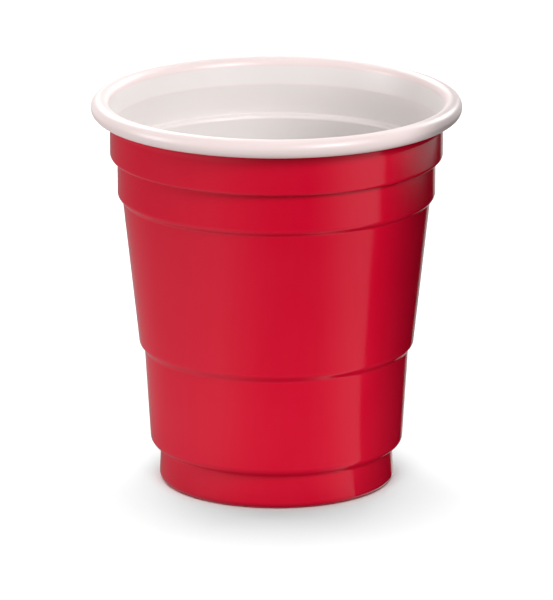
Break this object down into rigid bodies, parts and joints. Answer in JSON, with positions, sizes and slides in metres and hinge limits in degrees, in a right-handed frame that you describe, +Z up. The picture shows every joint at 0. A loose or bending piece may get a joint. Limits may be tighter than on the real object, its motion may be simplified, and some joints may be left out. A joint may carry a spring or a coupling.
{
  "type": "plastic shot cup",
  "caption": "Small round disposable plastic cup with tapered, stepped walls, a short foot and a rolled rim; holds a short drink and nests in cups of its kind.",
  "frame": {"origin": "middle of the ring that the cup stands on, on the table", "axes": "+Z up along the axis of the cup, from the foot to the mouth; the cup is round, so X and Y are any two directions across it"},
  "size_m": [0.0556, 0.0555, 0.059],
  "materials": {
    "cup_sheet": "glossy red outside, white inside and over the rolled rim"
  },
  "bodies": {
    "root": {"cup": "cup_sheet"}
  },
  "joints": []
}
